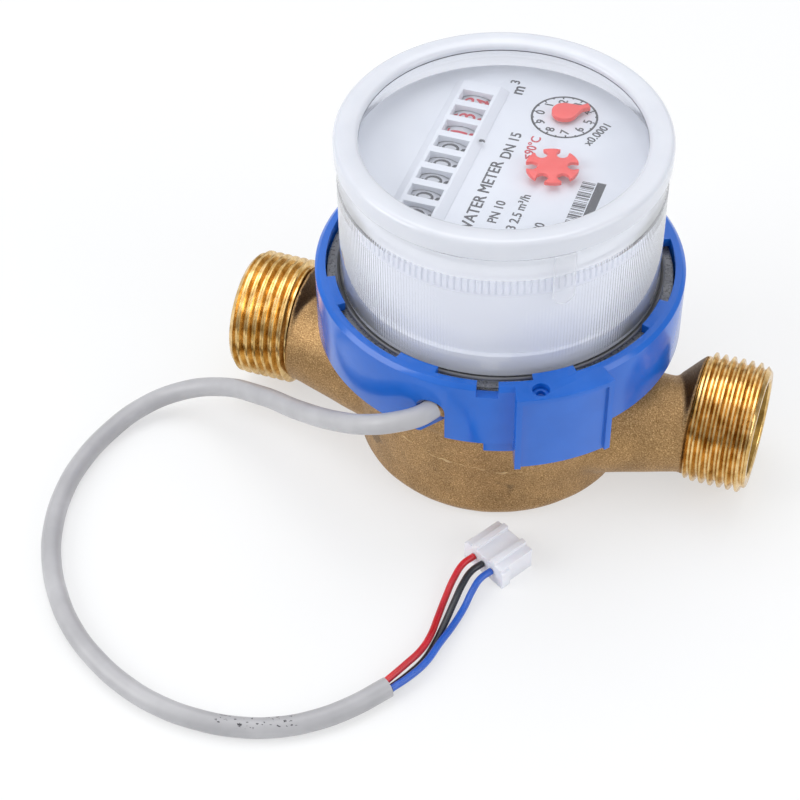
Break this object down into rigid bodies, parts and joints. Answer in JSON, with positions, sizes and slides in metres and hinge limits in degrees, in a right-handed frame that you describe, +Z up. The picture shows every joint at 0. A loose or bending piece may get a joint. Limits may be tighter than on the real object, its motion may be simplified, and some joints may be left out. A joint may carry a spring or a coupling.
{
  "type": "water meter",
  "caption": "Single-jet dry-dial water meter with a brass body, threaded ends, blue clamp ring, clear hood with number wheels, pointer and star wheel, and a pulse lead with plug.",
  "frame": {"origin": "centre of the base's underside, on the axis of the bowl and register", "axes": "+Z up, +X along the pipe from inlet to outlet, -Y towards the lock box and the lead"},
  "size_m": [0.1338, 0.1313, 0.0768],
  "materials": {
    "cast_brass": "sand-cast, with machined thread ends",
    "white_plastic": "moulded",
    "bright_steel": "ground",
    "magnet_black": "bonded ferrite",
    "black_rubber": "satin",
    "grey_plastic": "moulded",
    "dark_steel": "dull",
    "blue_plastic": "glossy moulded",
    "board_green": "coated board",
    "clear_plastic": "clear, ribbed inside",
    "bezel_white": "glossy",
    "drum_white": "moulded",
    "dial_white": "printed",
    "wheel_white": "printed figures",
    "coral_plastic": "translucent moulded",
    "grey_sheath": "satin sheath",
    "red_wire": "satin",
    "black_wire": "satin",
    "blue_wire": "satin",
    "plug_white": "moulded nylon"
  },
  "bodies": {
    "base": {"brass_body": "cast_brass", "inlet_strainer": "white_plastic", "impeller_pin": "bright_steel", "flange_gasket": "black_rubber", "pressure_plate": "grey_plastic", "shield_ring": "dark_steel", "clamp_ring": "blue_plastic", "lock_pin": "blue_plastic", "sensor_board": "board_green", "cable_sheath": "grey_sheath", "wire_red": "red_wire", "wire_black": "black_wire", "wire_blue": "blue_wire", "plug_housing": "plug_white", "plug_contacts": "bright_steel"},
    "impeller": {"impeller": "white_plastic", "impeller_magnet": "magnet_black"},
    "register": {"hood": "clear_plastic", "hood_bezel": "bezel_white", "hood_seal": "black_rubber", "register_base": "drum_white", "gear_plate": "drum_white", "dial_plate": "dial_white", "counter_frame": "drum_white", "number_shaft": "bright_steel", "pinion_shaft": "bright_steel"},
    "follower": {"follower": "white_plastic", "follower_magnet": "magnet_black"},
    "star": {"star_wheel": "coral_plastic"},
    "idler": {"idler": "white_plastic"},
    "pointer": {"pointer": "coral_plastic"},
    "counter_drive": {"counter_drive": "white_plastic"},
    "wheel_1": {"number_wheel_1": "wheel_white"},
    "wheel_2": {"number_wheel_2": "wheel_white"},
    "wheel_3": {"number_wheel_3": "wheel_white"},
    "wheel_4": {"number_wheel_4": "wheel_white"},
    "wheel_5": {"number_wheel_5": "wheel_white"},
    "wheel_6": {"number_wheel_6": "wheel_white"},
    "wheel_7": {"number_wheel_7": "wheel_white"},
    "wheel_8": {"number_wheel_8": "wheel_white"},
    "pinion_1": {"carry_pinion_1": "white_plastic"},
    "pinion_2": {"carry_pinion_2": "white_plastic"},
    "pinion_3": {"carry_pinion_3": "white_plastic"},
    "pinion_4": {"carry_pinion_4": "white_plastic"},
    "pinion_5": {"carry_pinion_5": "white_plastic"},
    "pinion_6": {"carry_pinion_6": "white_plastic"},
    "pinion_7": {"carry_pinion_7": "white_plastic"}
  },
  "joints": [
    {"name": "impeller_spin", "type": "hinge", "parent": "base", "child": "impeller", "pos_m": [0, 0, 0.015], "axis": [0, 0, 1], "continuous": true},
    {"name": "register_turn", "type": "hinge", "parent": "base", "child": "register", "pos_m": [0, 0, 0.042], "axis": [0, 0, 1], "range_deg": [-180, 180]},
    {"name": "follower_spin", "type": "hinge", "parent": "register", "child": "follower", "pos_m": [0, 0, 0.036], "axis": [0, 0, 1], "continuous": true},
    {"name": "star_spin", "type": "hinge", "parent": "register", "child": "star", "pos_m": [0.01, -0.0014, 0.06], "axis": [0, 0, 1], "continuous": true},
    {"name": "idler_spin", "type": "hinge", "parent": "register", "child": "idler", "pos_m": [0.01249, 0.00746, 0.042], "axis": [0, 0, 1], "continuous": true},
    {"name": "pointer_spin", "type": "hinge", "parent": "register", "child": "pointer", "pos_m": [0.0074, 0.0156, 0.06], "axis": [0, 0, 1], "continuous": true},
    {"name": "counter_drive_spin", "type": "hinge", "parent": "register", "child": "counter_drive", "pos_m": [-0.0046, 0.0186, 0.06], "axis": [0, 0, 1], "continuous": true},
    {"name": "wheel_1_spin", "type": "hinge", "parent": "register", "child": "wheel_1", "pos_m": [-0.0101, 0.01475, 0.0636], "axis": [0, 1, 0], "continuous": true},
    {"name": "wheel_2_spin", "type": "hinge", "parent": "register", "child": "wheel_2", "pos_m": [-0.0101, 0.00977, 0.0636], "axis": [0, 1, 0], "continuous": true},
    {"name": "wheel_3_spin", "type": "hinge", "parent": "register", "child": "wheel_3", "pos_m": [-0.0101, 0.00479, 0.0636], "axis": [0, 1, 0], "continuous": true},
    {"name": "wheel_4_spin", "type": "hinge", "parent": "register", "child": "wheel_4", "pos_m": [-0.0101, -0.00019, 0.0636], "axis": [0, 1, 0], "continuous": true},
    {"name": "wheel_5_spin", "type": "hinge", "parent": "register", "child": "wheel_5", "pos_m": [-0.0101, -0.00517, 0.0636], "axis": [0, 1, 0], "continuous": true},
    {"name": "wheel_6_spin", "type": "hinge", "parent": "register", "child": "wheel_6", "pos_m": [-0.0101, -0.01015, 0.0636], "axis": [0, 1, 0], "continuous": true},
    {"name": "wheel_7_spin", "type": "hinge", "parent": "register", "child": "wheel_7", "pos_m": [-0.0101, -0.01513, 0.0636], "axis": [0, 1, 0], "continuous": true},
    {"name": "wheel_8_spin", "type": "hinge", "parent": "register", "child": "wheel_8", "pos_m": [-0.0101, -0.02011, 0.0636], "axis": [0, 1, 0], "continuous": true},
    {"name": "pinion_1_spin", "type": "hinge", "parent": "register", "child": "pinion_1", "pos_m": [-0.0101, 0.01226, 0.0566], "axis": [0, 1, 0], "continuous": true},
    {"name": "pinion_2_spin", "type": "hinge", "parent": "register", "child": "pinion_2", "pos_m": [-0.0101, 0.00728, 0.0566], "axis": [0, 1, 0], "continuous": true},
    {"name": "pinion_3_spin", "type": "hinge", "parent": "register", "child": "pinion_3", "pos_m": [-0.0101, 0.0023, 0.0566], "axis": [0, 1, 0], "continuous": true},
    {"name": "pinion_4_spin", "type": "hinge", "parent": "register", "child": "pinion_4", "pos_m": [-0.0101, -0.00268, 0.0566], "axis": [0, 1, 0], "continuous": true},
    {"name": "pinion_5_spin", "type": "hinge", "parent": "register", "child": "pinion_5", "pos_m": [-0.0101, -0.00766, 0.0566], "axis": [0, 1, 0], "continuous": true},
    {"name": "pinion_6_spin", "type": "hinge", "parent": "register", "child": "pinion_6", "pos_m": [-0.0101, -0.01264, 0.0566], "axis": [0, 1, 0], "continuous": true},
    {"name": "pinion_7_spin", "type": "hinge", "parent": "register", "child": "pinion_7", "pos_m": [-0.0101, -0.01762, 0.0566], "axis": [0, 1, 0], "continuous": true}
  ],
  "couplings": [
    {"joint": "follower_spin", "follows": "impeller_spin", "ratio": 1},
    {"joint": "star_spin", "follows": "impeller_spin", "ratio": -0.42857},
    {"joint": "idler_spin", "follows": "impeller_spin", "ratio": 0.11905},
    {"joint": "pointer_spin", "follows": "impeller_spin", "ratio": -0.031328},
    {"joint": "counter_drive_spin", "follows": "impeller_spin", "ratio": 0.062657},
    {"joint": "wheel_1_spin", "follows": "impeller_spin", "ratio": 0.0031328},
    {"joint": "wheel_2_spin", "follows": "impeller_spin", "ratio": 0.00031328},
    {"joint": "wheel_3_spin", "follows": "impeller_spin", "ratio": 0.000031328},
    {"joint": "wheel_4_spin", "follows": "impeller_spin", "ratio": 0.0000031328},
    {"joint": "wheel_5_spin", "follows": "impeller_spin", "ratio": 0.00000031328},
    {"joint": "wheel_6_spin", "follows": "impeller_spin", "ratio": 0.000000031328},
    {"joint": "wheel_7_spin", "follows": "impeller_spin", "ratio": 0.0000000031328},
    {"joint": "wheel_8_spin", "follows": "impeller_spin", "ratio": 0.00000000031328},
    {"joint": "pinion_1_spin", "follows": "impeller_spin", "ratio": -0.00078321},
    {"joint": "pinion_2_spin", "follows": "impeller_spin", "ratio": -0.000078321},
    {"joint": "pinion_3_spin", "follows": "impeller_spin", "ratio": -0.0000078321},
    {"joint": "pinion_4_spin", "follows": "impeller_spin", "ratio": -0.00000078321},
    {"joint": "pinion_5_spin", "follows": "impeller_spin", "ratio": -0.000000078321},
    {"joint": "pinion_6_spin", "follows": "impeller_spin", "ratio": -0.0000000078321},
    {"joint": "pinion_7_spin", "follows": "impeller_spin", "ratio": -0.00000000078321}
  ]
}
